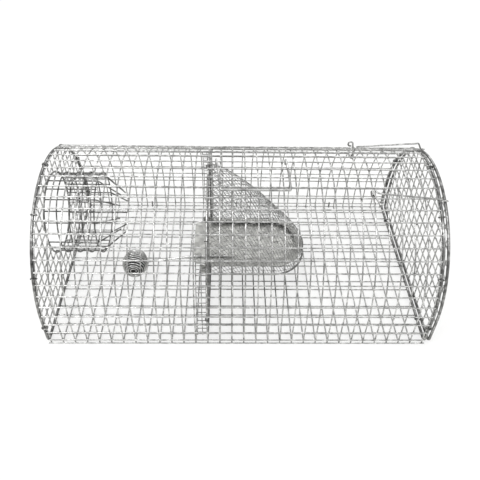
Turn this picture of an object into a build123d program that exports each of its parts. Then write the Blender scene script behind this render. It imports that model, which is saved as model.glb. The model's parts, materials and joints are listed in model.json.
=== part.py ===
from build123d import *
from math import atan2, cos, degrees, pi, radians, sin, sqrt
import os

os.makedirs("parts", exist_ok=True)

# Live catch trap: a half-round cage of welded wire mesh that lies along X.
# The rats enter through the funnel at -X, cross the first chamber, walk through the hood on
# the tilting plate and drop into the second chamber, which is emptied by the door at +X.
# Origin: middle of the floor, on the surface that the cage stands on. +Z is up.

# ---------------------------------------------------------------- driving dimensions (mm)
# cage shell
cage_half_width = 115.0      # outside of the arched wall, so the cage is 230 wide
side_height = 35.0           # straight foot of each wall, below the semicircular arch
cage_span = 393.7            # first hoop to last hoop
mesh_pitch = 12.7            # half-inch welded mesh
mesh_wire = 1.4
foot_overhang = 6.0          # hoop feet below the lowest lengthwise wire of the roof
hoop_foot_z = 0.2            # lower end of the hoop feet

# wires that frame the panels
frame_wire = 3.0             # end frames and door frame
frame_bend = 5.0             # their bottom corners
light_frame_wire = 2.0       # partition frame, hood mouth, hood base, entry mouth

# clips
clip_wire = 1.2
clip_clearance = 0.1
clip_step = 5                # cells of the roof mesh from one clip to the next
seam_cells = (6, 15, 25, 30)  # cells along the cage with a seam ring

# entry funnel
mouth_height = 85.0
mouth_radius = 44.3          # middle of the mouth ring's wire
tunnel_length = 50.8
tunnel_ring_count = 4
tunnel_wire_count = 22       # every second one ends in a spike
spike_reach = 22.3           # spike beyond the tunnel, along X
spike_tip_radius = 24.0
spike_bend = 5.0

# partition
partition_cell = 13          # hoop that carries the partition
fine_pitch = 6.35
fine_wire = 0.9
flange_width = 10.5
flange_foot = 12.0
flange_top_angle = 40.0      # degrees above the arch's spring line
partition_tie_step = 7

# hood
hood_half_width = 41.0
hood_sheet = 1.0             # woven mesh, taken as a sheet of this thickness
hood_base_z = 30.0
hood_top_z = 142.5
hood_straight = 72.75        # partition to the start of the rounded nose
hood_nose = 36.0
hood_ridge_power = 1.45
rim_width = 9.0
rim_sheet = 0.8
rim_nose_relief = 0.6        # rim's nose, inside its straight sides
over_cut = 1.0               # how far a cut starts before the sheet that it cuts

# tilting plate
plate_top_z = 40.5
plate_sheet = 0.8
plate_lap = 3.0              # plate under the hood's rim
plate_tail = 18.25           # plate on the entry side of the partition
plate_rest_gap = 0.3         # plate to rim when closed
axle_offset = 4.25           # axle on the entry side of the partition
axle_wire = 3.0
axle_clearance = 0.06
axle_head = 2.5
axle_head_length = 1.0
bracket_sheet = 1.2
bracket_length = 8.2
bracket_low_z = 32.0
bracket_high_z = 44.0

# lever and counterweight
lever_wire = 2.5
lever_y = -25.0
lever_inner_end = 27.75      # lever's end on the plate, beyond the partition
lever_knee = 18.25           # knee, on the entry side of the partition
lever_bend = 12.0
weight_x = -116.5
weight_z = 30.4
weight_radius = 14.5
weight_wire = 2.2
weight_turns = 11
weight_taper = 8.5           # end turns are this much smaller in radius
weight_core = 3.0
clip_saddle_sheet = 0.8
clip_saddle_width = 4.0
clip_saddle_foot = 2.5
clip_saddle_at = (12.75, 22.75)  # beyond the partition

# door
door_running_gap = 0.45
hinge_ring_cells = (2.5, 9.5, 15.5)

# carry handle
handle_wire = 2.8
handle_clearance = 0.3
handle_cells = (0.75, 6.3)   # eyes, in cells beyond the partition
handle_drop = 20.5           # degrees of arch from the eyes down to the bar
handle_bend = 4.0
handle_eye_wrap = 250.0      # degrees of the eye about the roof's wire

# latches
latch_wire = 1.8
latch_bore_gap = 0.15
latch_turns = 4
latch_frame_gap = 0.3
latch_wrap = 50.0            # degrees of hook past the top of the door frame
latch_bend = 1.2
hook_shoulder = 5.5          # rod's top corner, before the door frame
hook_landing = 2.2           # start of the hook, before the door frame
eye_radius = 2.4             # middle of the finger loop's wire
eye_wrap = 290.0             # degrees of the finger loop
front_stem = 15.0
rear_stem = 17.0
rear_rod_lift = 7.0          # rear rod climbs this far straight off its coil
front_latch_cell = -3        # cells from the top of the arch
rear_latch_cell = 2
front_latch_hoop = 5         # hoops back from the door end
rear_latch_hoop = 6
front_latch_rise = 2.5       # rod above the hook's own height
rear_latch_rise = 6.5
front_latch_skew = 9.0       # hook beside the coil, towards the near side
rear_latch_skew = -20.0

# running and welding gaps
layer_gap = 0.02             # between crossing wires of a mesh
end_gap = 0.05               # between a wire's end and its frame

# ---------------------------------------------------------------- derived sizes
wire_r = mesh_wire / 2
frame_r = frame_wire / 2
light_r = light_frame_wire / 2
fine_r = fine_wire / 2
clip_r = clip_wire / 2
latch_r = latch_wire / 2
handle_r = handle_wire / 2
lever_r = lever_wire / 2
axle_r = axle_wire / 2

long_radius = cage_half_width - wire_r
hoop_radius = long_radius - mesh_wire - layer_gap
hoop_cells = round(cage_span / mesh_pitch)
hoop_step = cage_span / hoop_cells
hoop_x = [-cage_span / 2 + i * hoop_step for i in range(hoop_cells + 1)]

arch_length = 2 * side_height + pi * long_radius
arch_cells = round((arch_length - 2 * foot_overhang) / mesh_pitch)
arch_step = (arch_length - 2 * foot_overhang) / arch_cells
top_cell = arch_cells // 2
floor_cells = round(2 * long_radius / mesh_pitch)
floor_step = 2 * long_radius / floor_cells
floor_long_z = wire_r
floor_cross_z = wire_r + mesh_wire + layer_gap

end_x = cage_span / 2 + wire_r + layer_gap + frame_r
bar_z = mesh_wire + layer_gap + frame_r
panel_trim = hoop_radius - frame_r - end_gap
panel_foot_z = bar_z + frame_r + 4 * end_gap
layer_shift = wire_r + layer_gap / 2

partition_x = hoop_x[partition_cell]
partition_radius = hoop_radius - wire_r - light_r - layer_gap
partition_bar_z = floor_cross_z + wire_r + light_r + layer_gap
partition_trim = partition_radius - light_r - end_gap
fine_shift = fine_r + layer_gap / 2

door_x = end_x + frame_r + clip_clearance + clip_wire + door_running_gap + frame_r


def cell_position(cell):
    """Place along the arch of the middle of a roof cell."""
    return foot_overhang + (cell + 0.5) * arch_step


def arch_point(position, radius):
    """Y and Z on an arch of this radius, at a place along the roof."""
    if position < side_height:
        return (-radius, position)
    if position > arch_length - side_height:
        return (radius, arch_length - position)
    angle = (position - side_height) / long_radius
    return (-radius * cos(angle), side_height + radius * sin(angle))


def arch_tilt(position):
    """Degrees from the near horizontal to the arch's outward direction."""
    angle = degrees((position - side_height) / long_radius)
    return min(max(angle, 0.0), 180.0)


def place_along(y, z):
    """Place along the roof that lies beyond this Y and Z."""
    if z < side_height:
        return z if y < 0 else arch_length - z
    return side_height + long_radius * atan2(z - side_height, -y)


def arch_plane(x, position, radius):
    """Plane across the arch's wires: X along the cage, Y outwards."""
    y, z = arch_point(position, radius)
    tilt = radians(arch_tilt(position))
    return Plane(origin=(x, y, z), x_dir=(1, 0, 0), z_dir=(0, -sin(tilt), -cos(tilt)))


def arch_frame(x, radius, foot_z, bend, wire):
    """Closed wire frame: arch, two legs, two bent corners and a bottom bar."""
    with BuildPart() as frame:
        with BuildLine(Plane.YZ.offset(x)) as path:
            arch = CenterArc((0, side_height), radius, 0, 180)
            far_leg = Line((radius, foot_z + bend), arch @ 0)
            near_leg = Line(arch @ 1, (-radius, foot_z + bend))
            near_bend = CenterArc((-radius + bend, foot_z + bend), bend, 180, 90)
            bar = Line((-radius + bend, foot_z), (radius - bend, foot_z))
            far_bend = CenterArc((radius - bend, foot_z + bend), bend, 270, 90)
        with BuildSketch(Plane(origin=(x, 0, foot_z), x_dir=(1, 0, 0), z_dir=(0, 1, 0))):
            Circle(wire / 2)
        sweep(path=path.wires()[0])
    return frame.part


def link(plane, far_end, clear_radius, wire):
    """Closed clip in a plane, round the plane's origin and round a second centre beside it."""
    reach = clear_radius + wire / 2
    across, along = far_end
    length = sqrt(across ** 2 + along ** 2)
    side = (-along / length * reach, across / length * reach)
    turn = degrees(atan2(side[1], side[0]))
    with BuildPart() as ring:
        with BuildLine(plane) as path:
            Line(side, (across + side[0], along + side[1]))
            CenterArc((across, along), reach, turn, -180)
            Line((across - side[0], along - side[1]), (-side[0], -side[1]))
            CenterArc((0, 0), reach, turn + 180, -180)
        route = path.wires()[0]
        with BuildSketch(Plane(origin=route @ 0, z_dir=route % 0)):
            Circle(wire / 2)
        sweep(path=route)
    return ring.part


def rods(starts, ends, wire):
    """Straight wires, each a cylinder from a start to an end."""
    with BuildPart() as group:
        for start, end in zip(starts, ends):
            heading = Vector(*end) - Vector(*start)
            with BuildSketch(Plane(origin=start, z_dir=heading)):
                Circle(wire / 2)
            extrude(amount=heading.length)
    return group.part


def spans_around(low, high, gap):
    """A span from low to high, split by a gap, without scraps too short to weld."""
    shortest = 3.0
    if gap is None:
        pieces = [(low, high)]
    else:
        pieces = [(low, min(high, gap[0])), (max(low, gap[1]), high)]
    return [(a, b) for a, b in pieces if b - a > shortest]


def trim_at(y, z, trim, radius_in_clip, clips, clip_half_zone):
    """Radius that a wire may reach, which is less beside a clip."""
    place = place_along(y, z)
    near_clip = any(abs(place - clip) < clip_half_zone for clip in clips)
    return radius_in_clip if near_clip else trim


def upright_span(y, foot_z, wire, trim, short_trim, clips, zone):
    """Lowest and highest Z of an upright wire of an arched panel."""
    def top(limit):
        return side_height + sqrt(limit ** 2 - (abs(y) + wire / 2) ** 2)
    reach = trim_at(y, top(trim), trim, short_trim, clips, zone)
    return foot_z, top(reach)


def level_half(z, wire, trim, short_trim, clips, zone):
    """Half length of a level wire of an arched panel."""
    def half(limit):
        above = max(z + wire / 2 - side_height, 0.0)
        return sqrt(limit ** 2 - above ** 2)
    reach = trim_at(-half(trim), z, trim, short_trim, clips, zone)
    return half(reach)


def save(builder, name):
    """Label a finished piece and write it."""
    builder.part.label = name
    export_step(builder.part, f"parts/{name}.step")


# ---------------------------------------------------------------- cage shell
with BuildPart() as hoop:
    with BuildLine(Plane.YZ) as hoop_path:
        hoop_arch = CenterArc((0, side_height), hoop_radius, 0, 180)
        Line((hoop_radius, hoop_foot_z), hoop_arch @ 0)
        Line(hoop_arch @ 1, (-hoop_radius, hoop_foot_z))
    with BuildSketch(Plane(origin=(0, hoop_radius, hoop_foot_z), z_dir=(0, 0, 1))):
        Circle(wire_r)
    sweep(path=hoop_path.wires()[0])

with BuildPart() as roof_hoop_wires:
    with Locations(*[(x, 0, 0) for x in hoop_x]):
        add(hoop.part)
save(roof_hoop_wires, "roof_hoop_wires")

long_end = cage_span / 2 + wire_r
roof_long_places = [foot_overhang + k * arch_step for k in range(arch_cells + 1)]
with BuildPart() as roof_long_wires:
    with BuildSketch(Plane.YZ.offset(-long_end)):
        with Locations(*[arch_point(place, long_radius) for place in roof_long_places]):
            Circle(wire_r)
    extrude(amount=2 * long_end)
save(roof_long_wires, "roof_long_wires")

floor_long_y = [-long_radius + k * floor_step for k in range(floor_cells + 1)]
with BuildPart() as floor_long_wires:
    with BuildSketch(Plane.YZ.offset(-end_x)):
        with Locations(*[(y, floor_long_z) for y in floor_long_y]):
            Circle(wire_r)
    extrude(amount=2 * end_x)
save(floor_long_wires, "floor_long_wires")

floor_cross_end = hoop_radius - wire_r - layer_gap
with BuildPart() as floor_cross_wires:
    with BuildSketch(Plane.XZ.offset(-floor_cross_end)):
        with Locations(*[(x, floor_cross_z) for x in hoop_x[1:-1]]):
            Circle(wire_r)
    extrude(amount=2 * floor_cross_end)
save(floor_cross_wires, "floor_cross_wires")

# Seam rings: open clips that close the roof's lowest wire onto the floor's edge wire.
seam_leg = wire_r + clip_clearance + clip_r
seam_foot_z = clip_clearance
with BuildPart() as seam_ring:
    with BuildLine(Plane.YZ) as seam_path:
        seam_top = CenterArc((long_radius, foot_overhang), seam_leg, 0, 180)
        Line((long_radius + seam_leg, seam_foot_z), seam_top @ 0)
        Line(seam_top @ 1, (long_radius - seam_leg, seam_foot_z))
    with BuildSketch(Plane(origin=(0, long_radius + seam_leg, seam_foot_z), z_dir=(0, 0, 1))):
        Circle(clip_r)
    sweep(path=seam_path.wires()[0])
with BuildPart() as seam_rings:
    with Locations(*[((hoop_x[i] + hoop_x[i + 1]) / 2, 0, 0) for i in seam_cells if i < hoop_cells]):
        add(seam_ring.part)
save(seam_rings, "seam_rings")

# ---------------------------------------------------------------- end frames and their clips
with BuildPart() as entry_end_frame:
    add(arch_frame(-end_x, hoop_radius, bar_z, frame_bend, frame_wire))
save(entry_end_frame, "entry_end_frame")

with BuildPart() as exit_end_ring:
    add(arch_frame(end_x, hoop_radius, bar_z, frame_bend, frame_wire))
save(exit_end_ring, "exit_end_ring")

clip_cells = [c for c in range(arch_cells) if (c - top_cell) % clip_step == 0]
clip_places = [cell_position(c) for c in clip_cells]
clip_reach = end_x - cage_span / 2 - (frame_r - wire_r)
for side, name in ((-1, "entry_clips"), (1, "exit_clips")):
    with BuildPart() as clips:
        for place in clip_places:
            clip_plane = arch_plane(side * end_x, place, hoop_radius)
            add(link(clip_plane, (-side * clip_reach, 0), frame_r + clip_clearance, clip_wire))
    save(clips, name)

# ---------------------------------------------------------------- entry panel
clip_zone = clip_r + wire_r + 6 * end_gap
panel_short = hoop_radius - frame_r - clip_clearance - clip_wire - 5 * end_gap
mouth_clear = mouth_radius + light_r + end_gap
panel_rows = int((side_height + panel_trim) / mesh_pitch)

starts, ends = [], []
upright_count = int(panel_trim / mesh_pitch - 0.5) + 1
upright_x = -end_x - layer_shift
for k in range(-upright_count, upright_count):
    y = (k + 0.5) * mesh_pitch
    low, high = upright_span(y, panel_foot_z, mesh_wire, panel_trim, panel_short, clip_places, clip_zone)
    inner = max(abs(y) - wire_r, 0.0)
    gap = None
    if inner < mouth_clear:
        half = sqrt(mouth_clear ** 2 - inner ** 2)
        gap = (mouth_height - half, mouth_height + half)
    for a, b in spans_around(low, high, gap):
        starts.append((upright_x, y, a))
        ends.append((upright_x, y, b))
with BuildPart() as entry_upright_wires:
    add(rods(starts, ends, mesh_wire))
save(entry_upright_wires, "entry_upright_wires")

starts, ends = [], []
level_x = -end_x + layer_shift
for k in range(1, panel_rows):
    z = (k + 0.5) * mesh_pitch
    half = level_half(z, mesh_wire, panel_trim, panel_short, clip_places, clip_zone)
    inner = max(abs(z - mouth_height) - wire_r, 0.0)
    gap = None
    if inner < mouth_clear:
        opening = sqrt(mouth_clear ** 2 - inner ** 2)
        gap = (-opening, opening)
    for a, b in spans_around(-half, half, gap):
        starts.append((level_x, a, z))
        ends.append((level_x, b, z))
with BuildPart() as entry_level_wires:
    add(rods(starts, ends, mesh_wire))
save(entry_level_wires, "entry_level_wires")

# ---------------------------------------------------------------- entry funnel


def hoop_ring(x, radius, wire):
    """Round ring about the tunnel's axis."""
    with BuildPart() as ring:
        with BuildSketch(Plane(origin=(x, 0, mouth_height), x_dir=(1, 0, 0), z_dir=(0, -1, 0))):
            with Locations((0, radius)):
                Circle(wire / 2)
        revolve(axis=Axis((x, 0, mouth_height), (1, 0, 0)))
    return ring.part


with BuildPart() as entry_mouth_ring:
    add(hoop_ring(-end_x, mouth_radius, light_frame_wire))
save(entry_mouth_ring, "entry_mouth_ring")

tunnel_radius = mouth_radius - light_r - wire_r - layer_gap
tunnel_ring_radius = tunnel_radius + mesh_wire + layer_gap
tunnel_end_x = -end_x + tunnel_length
tunnel_ring_step = tunnel_length / tunnel_ring_count
with BuildPart() as tunnel_rings:
    for k in range(1, tunnel_ring_count + 1):
        add(hoop_ring(-end_x + k * tunnel_ring_step, tunnel_ring_radius, mesh_wire))
save(tunnel_rings, "tunnel_rings")

tunnel_angle = 360 / tunnel_wire_count
plain_angles = [(k + 0.5) * tunnel_angle for k in range(0, tunnel_wire_count, 2)]
spike_angles = [(k + 0.5) * tunnel_angle for k in range(1, tunnel_wire_count, 2)]
with BuildPart() as tunnel_rod:
    with BuildSketch(Plane.YZ.offset(-end_x)):
        with Locations((tunnel_radius, 0)):
            Circle(wire_r)
    extrude(amount=tunnel_length + wire_r)
with BuildPart() as tunnel_long_wires:
    with Locations(*[Location((0, 0, mouth_height), (angle, 0, 0)) for angle in plain_angles]):
        add(tunnel_rod.part)
save(tunnel_long_wires, "tunnel_long_wires")

with BuildPart() as spike:
    with BuildLine(Plane.XY) as spike_path:
        FilletPolyline((-end_x, tunnel_radius), (tunnel_end_x + wire_r, tunnel_radius),
                       (tunnel_end_x + spike_reach, spike_tip_radius), radius=spike_bend)
    with BuildSketch(Plane.YZ.offset(-end_x)):
        with Locations((tunnel_radius, 0)):
            Circle(wire_r)
    sweep(path=spike_path.wires()[0])
with BuildPart() as tunnel_spike_wires:
    with Locations(*[Location((0, 0, mouth_height), (angle, 0, 0)) for angle in spike_angles]):
        add(spike.part)
save(tunnel_spike_wires, "tunnel_spike_wires")

# ---------------------------------------------------------------- partition
with BuildPart() as partition_frame:
    add(arch_frame(partition_x, partition_radius, partition_bar_z, frame_bend, light_frame_wire))
save(partition_frame, "partition_frame")

tie_cells = [c for c in range(1, arch_cells) if (c - top_cell) % partition_tie_step == 0]
tie_places = [cell_position(c) for c in tie_cells]
tie_slack = light_r - wire_r
with BuildPart() as partition_ties:
    for place in tie_places:
        tie_plane = arch_plane(partition_x, place, partition_radius)
        rise = hoop_radius - partition_radius - tie_slack + clip_clearance
        add(link(tie_plane, (0, rise), light_r + clip_clearance, clip_wire))
save(partition_ties, "partition_ties")

mouth_post_y = hood_half_width - hood_sheet / 2
hood_mouth_clear = mouth_post_y + light_r + end_gap
hood_spring_z = hood_top_z - hood_sheet / 2 - mouth_post_y
hood_foot_z = hood_base_z - light_r - layer_gap
tie_zone = clip_r + fine_r + 6 * end_gap
partition_short = partition_radius - light_r - clip_clearance - clip_wire - 5 * end_gap

starts, ends = [], []
fine_count = int(partition_trim / fine_pitch - 0.5)
for k in range(-fine_count, fine_count):
    y = (k + 0.5) * fine_pitch
    foot = partition_bar_z + light_r + 4 * end_gap
    low, high = upright_span(y, foot, fine_wire, partition_trim, partition_short, tie_places, tie_zone)
    inner = max(abs(y) - fine_r, 0.0)
    gap = None
    if inner < hood_mouth_clear:
        crown = hood_spring_z + sqrt(hood_mouth_clear ** 2 - inner ** 2)
        gap = (hood_foot_z - light_r - end_gap, crown)
    for a, b in spans_around(low, high, gap):
        starts.append((partition_x - fine_shift, y, a))
        ends.append((partition_x - fine_shift, y, b))
with BuildPart() as partition_upright_wires:
    add(rods(starts, ends, fine_wire))
save(partition_upright_wires, "partition_upright_wires")

starts, ends = [], []
for k in range(1, int((side_height + partition_trim) / fine_pitch)):
    z = (k + 0.5) * fine_pitch
    half = level_half(z, fine_wire, partition_trim, partition_short, tie_places, tie_zone)
    gap = None
    if z + fine_r > hood_foot_z - light_r - end_gap:
        above = max(z - fine_r - hood_spring_z, 0.0)
        if above < hood_mouth_clear:
            opening = sqrt(hood_mouth_clear ** 2 - above ** 2)
            gap = (-opening, opening)
    for a, b in spans_around(-half, half, gap):
        starts.append((partition_x + fine_shift, a, z))
        ends.append((partition_x + fine_shift, b, z))
with BuildPart() as partition_level_wires:
    add(rods(starts, ends, fine_wire))
save(partition_level_wires, "partition_level_wires")

# Flange: a strip of the fine mesh folded back along each wall, on the entry side.
flange_arc_radius = partition_radius + light_r - fine_r - layer_gap
flange_rod_radius = flange_arc_radius - fine_wire - layer_gap
flange_arc_length = side_height - flange_foot + long_radius * radians(flange_top_angle)
flange_rod_count = int(flange_arc_length / fine_pitch)
flange_start_x = partition_x - light_r - end_gap
with BuildPart() as flange_arc:
    with BuildLine(Plane.YZ) as flange_path:
        flange_curve = CenterArc((0, side_height), flange_arc_radius, 180, -flange_top_angle)
        Line((-flange_arc_radius, flange_foot), flange_curve @ 0)
    with BuildSketch(Plane(origin=(0, -flange_arc_radius, flange_foot), z_dir=(0, 0, 1))):
        Circle(fine_r)
    sweep(path=flange_path.wires()[0])
with BuildPart() as partition_flange_wires:
    with Locations((partition_x - flange_width / 2, 0, 0), (partition_x - flange_width, 0, 0)):
        add(flange_arc.part)
    with BuildSketch(Plane.YZ.offset(flange_start_x)):
        for k in range(flange_rod_count):
            with Locations(arch_point(flange_foot + (k + 0.5) * fine_pitch, flange_rod_radius)):
                Circle(fine_r)
    extrude(amount=-(flange_width - light_r))
    mirror(about=Plane.XZ)
save(partition_flange_wires, "partition_flange_wires")

# ---------------------------------------------------------------- hood
with BuildPart() as hood_mouth_wire:
    with BuildLine(Plane.YZ.offset(partition_x)) as mouth_path:
        mouth_arch = CenterArc((0, hood_spring_z), mouth_post_y, 0, 180)
        Line((mouth_post_y, hood_foot_z + light_frame_wire), mouth_arch @ 0)
        Line(mouth_arch @ 1, (-mouth_post_y, hood_foot_z + light_frame_wire))
        CenterArc((-mouth_post_y + light_frame_wire, hood_foot_z + light_frame_wire), light_frame_wire, 180, 90)
        Line((-mouth_post_y + light_frame_wire, hood_foot_z), (mouth_post_y - light_frame_wire, hood_foot_z))
        CenterArc((mouth_post_y - light_frame_wire, hood_foot_z + light_frame_wire), light_frame_wire, 270, 90)
    with BuildSketch(Plane(origin=(partition_x, 0, hood_foot_z), x_dir=(1, 0, 0), z_dir=(0, 1, 0))):
        Circle(light_r)
    sweep(path=mouth_path.wires()[0])
save(hood_mouth_wire, "hood_mouth_wire")

hood_start_x = partition_x + light_r + end_gap
nose_x = partition_x + hood_straight
rim_bottom_z = plate_top_z + plate_rest_gap
rim_top_z = rim_bottom_z + rim_sheet
hood_length = nose_x + hood_nose - hood_start_x


def hood_half(x, inset):
    """Half width of the hood's outline at x: straight, then a half ellipse."""
    if x <= nose_x:
        return hood_half_width - inset
    across = min((x - nose_x) / (hood_nose - inset), 0.999)
    return (hood_half_width - inset) * sqrt(1 - across ** 2)


def hood_ridge(x, inset):
    """Height of the hood's ridge at x."""
    run = min(max((x - hood_start_x) / hood_length, 0.0), 1.0)
    return rim_top_z + hood_sheet + (hood_top_z - rim_top_z - hood_sheet) * (1 - run ** hood_ridge_power) - inset


def hood_section(x, inset, base_z):
    """Upright section of the hood: flat base, straight sides, elliptical crown."""
    half = hood_half(x, inset)
    ridge = hood_ridge(x, inset)
    spring = max(ridge - half, rim_top_z - inset / 2)
    with BuildSketch(Plane.YZ.offset(x)) as section:
        with BuildLine():
            Line((-half, spring), (-half, base_z))
            Line((-half, base_z), (half, base_z))
            Line((half, base_z), (half, spring))
            EllipticalCenterArc((0, spring), half, ridge - spring, 0, arc_size=180)
        make_face()
    return section.sketch


hood_stations = (0.0, 0.2, 0.4, 0.55, 0.68, 0.78, 0.86, 0.92, 0.965, 0.995)
with BuildPart() as hood_space:
    for first, second in zip(hood_stations[:-1], hood_stations[1:]):
        x_first = hood_start_x + first * hood_length - (hood_sheet if first == 0.0 else 0.0)
        x_second = hood_start_x + second * hood_length - (hood_sheet if second == hood_stations[-1] else 0.0)
        loft([hood_section(x_first, hood_sheet, hood_base_z - hood_sheet).faces()[0],
              hood_section(x_second, hood_sheet, hood_base_z - hood_sheet).faces()[0]], ruled=True)
with BuildPart() as hood_mesh:
    for first, second in zip(hood_stations[:-1], hood_stations[1:]):
        loft([hood_section(hood_start_x + first * hood_length, 0.0, hood_base_z).faces()[0],
              hood_section(hood_start_x + second * hood_length, 0.0, hood_base_z).faces()[0]], ruled=True)
    add(hood_space.part, mode=Mode.SUBTRACT)
save(hood_mesh, "hood_mesh")

with BuildPart() as hood_base_wire:
    with BuildLine(Plane.XY.offset(hood_foot_z)) as base_path:
        Line((hood_start_x, -mouth_post_y), (nose_x, -mouth_post_y))
        EllipticalCenterArc((nose_x, 0), hood_nose - hood_sheet / 2, mouth_post_y, 270, arc_size=180)
        Line((nose_x, mouth_post_y), (hood_start_x, mouth_post_y))
    with BuildSketch(Plane.YZ.offset(hood_start_x)):
        with Locations((-mouth_post_y, hood_foot_z)):
            Circle(light_r)
    sweep(path=base_path.wires()[0])
save(hood_base_wire, "hood_base_wire")

# The rim is a flat sheet ledge inside the hood. Its inner edge laps over the plate's edge.
rim_half = hood_half_width - hood_sheet - end_gap
rim_nose = hood_start_x + hood_stations[-1] * hood_length - nose_x - hood_sheet - end_gap
rim_inner_half = rim_half - rim_width
rim_inner_nose = rim_nose - rim_width


def nose_shape(x_low, half, nose_half, nose_length):
    """Flat outline: a straight strip that ends in a half ellipse."""
    with BuildSketch() as shape:
        with Locations(((x_low + nose_x) / 2, 0)):
            Rectangle(nose_x - x_low, 2 * half)
        with BuildSketch(mode=Mode.PRIVATE) as nose:
            with Locations((nose_x, 0)):
                Ellipse(nose_length, nose_half)
            with Locations((nose_x - nose_length, 0)):
                Rectangle(2 * nose_length, 2 * nose_half, mode=Mode.SUBTRACT)
        add(nose.sketch)
    return shape.sketch


with BuildPart() as hood_rim:
    with BuildSketch(Plane.XY.offset(rim_bottom_z)):
        add(nose_shape(hood_start_x, rim_half, rim_half - rim_nose_relief, rim_nose))
        add(nose_shape(hood_start_x - over_cut, rim_inner_half, rim_inner_half, rim_inner_nose), mode=Mode.SUBTRACT)
    extrude(amount=rim_sheet)
save(hood_rim, "hood_rim")

# ---------------------------------------------------------------- tilting plate
plate_half = rim_inner_half + plate_lap
plate_nose = rim_inner_nose + plate_lap
axle_x = partition_x - axle_offset
axle_z = plate_top_z - plate_sheet - layer_gap - axle_r
with BuildPart() as tilt_plate:
    with BuildSketch(Plane.XY.offset(plate_top_z - plate_sheet)):
        add(nose_shape(partition_x - plate_tail, plate_half, plate_half, plate_nose))
    extrude(amount=plate_sheet)
    tail_corners = tilt_plate.edges().filter_by(Axis.Z).group_by(Axis.X)[0]
    fillet(tail_corners, radius=5)
save(tilt_plate, "tilt_plate")

axle_end = mouth_post_y + bracket_sheet / 2 + plate_rest_gap
with BuildPart() as plate_axle:
    with BuildSketch(Plane(origin=(axle_x, -axle_end, axle_z), x_dir=(1, 0, 0), z_dir=(0, 1, 0))):
        Circle(axle_r)
    extrude(amount=2 * axle_end)
    for side in (-1, 1):
        with BuildSketch(Plane(origin=(axle_x, side * axle_end, axle_z), x_dir=(1, 0, 0), z_dir=(0, side, 0))):
            Circle(axle_head)
        extrude(amount=axle_head_length)
save(plate_axle, "plate_axle")

bracket_end_x = partition_x - light_r - end_gap
with BuildPart() as pivot_brackets:
    with BuildSketch(Plane.XZ.offset(-mouth_post_y - bracket_sheet / 2)):
        with Locations((bracket_end_x - bracket_length / 2, (bracket_low_z + bracket_high_z) / 2)):
            RectangleRounded(bracket_length, bracket_high_z - bracket_low_z, 2)
        with Locations((axle_x, axle_z)):
            Circle(axle_r + axle_clearance, mode=Mode.SUBTRACT)
    extrude(amount=bracket_sheet)
    mirror(about=Plane.XZ)
save(pivot_brackets, "pivot_brackets")

# ---------------------------------------------------------------- lever and counterweight
lever_z = plate_top_z + layer_gap + lever_r
lever_knee_x = partition_x - lever_knee
lever_slope = atan2(lever_z - weight_z, lever_knee_x - weight_x)
lever_tip_x = weight_x + (weight_radius + end_gap) * cos(lever_slope)
lever_tip_z = weight_z + (weight_radius + end_gap) * sin(lever_slope)
with BuildPart() as lever_arm:
    with BuildLine(Plane.XZ.offset(-lever_y)) as lever_path:
        FilletPolyline((partition_x + lever_inner_end, lever_z), (lever_knee_x, lever_z),
                       (lever_tip_x, lever_tip_z), radius=lever_bend)
    with BuildSketch(Plane(origin=(partition_x + lever_inner_end, lever_y, lever_z), z_dir=(-1, 0, 0))):
        Circle(lever_r)
    sweep(path=lever_path.wires()[0])
save(lever_arm, "lever_arm")

saddle_inner = lever_r + end_gap
saddle_outer = saddle_inner + clip_saddle_sheet
with BuildPart() as lever_clips:
    for place in clip_saddle_at:
        with BuildSketch(Plane.YZ.offset(partition_x + place - clip_saddle_width / 2)):
            with Locations((lever_y, lever_z)):
                Circle(saddle_outer)
            with Locations((lever_y, (lever_z + plate_top_z + layer_gap) / 2)):
                Rectangle(2 * saddle_outer, lever_r)
            with Locations((lever_y, plate_top_z + layer_gap + clip_saddle_sheet / 2)):
                Rectangle(2 * (saddle_outer + clip_saddle_foot), clip_saddle_sheet)
            with Locations((lever_y, lever_z)):
                Circle(saddle_inner, mode=Mode.SUBTRACT)
            with Locations((lever_y, lever_z - saddle_inner)):
                Rectangle(2 * saddle_inner, 2 * saddle_inner, mode=Mode.SUBTRACT)
            with Locations((lever_y, plate_top_z + layer_gap - weight_radius)):
                Rectangle(2 * weight_radius, 2 * weight_radius, mode=Mode.SUBTRACT)
        extrude(amount=clip_saddle_width)
save(lever_clips, "lever_clips")

weight_plane = Plane(origin=(weight_x, lever_y, weight_z), x_dir=(0, 1, 0), z_dir=(1, 0, 0))
turn_span = (weight_turns - 1) / 2
with BuildPart() as counterweight_coil:
    with BuildSketch(weight_plane):
        for k in range(weight_turns):
            off = k - turn_span
            ring_radius = weight_radius - weight_wire / 2 - weight_taper * (off / turn_span) ** 2
            with Locations((off * weight_wire * 0.97, ring_radius)):
                Circle(weight_wire / 2)
            with Locations((off * weight_wire * 0.97, (ring_radius + weight_core) / 2)):
                Rectangle(weight_wire, ring_radius - weight_core)
    revolve(axis=Axis((weight_x, lever_y, weight_z), (0, 1, 0)))
save(counterweight_coil, "counterweight_coil")

# ---------------------------------------------------------------- door
with BuildPart() as door_frame:
    add(arch_frame(door_x, hoop_radius, bar_z, frame_bend, frame_wire))
save(door_frame, "door_frame")

starts, ends = [], []
door_count = int(panel_trim / mesh_pitch)
for k in range(-door_count, door_count + 1):
    y = k * floor_step
    low, high = upright_span(y, panel_foot_z, mesh_wire, panel_trim, panel_trim, (), 0.0)
    starts.append((door_x - layer_shift, y, low))
    ends.append((door_x - layer_shift, y, high))
with BuildPart() as door_upright_wires:
    add(rods(starts, ends, mesh_wire))
save(door_upright_wires, "door_upright_wires")

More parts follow.
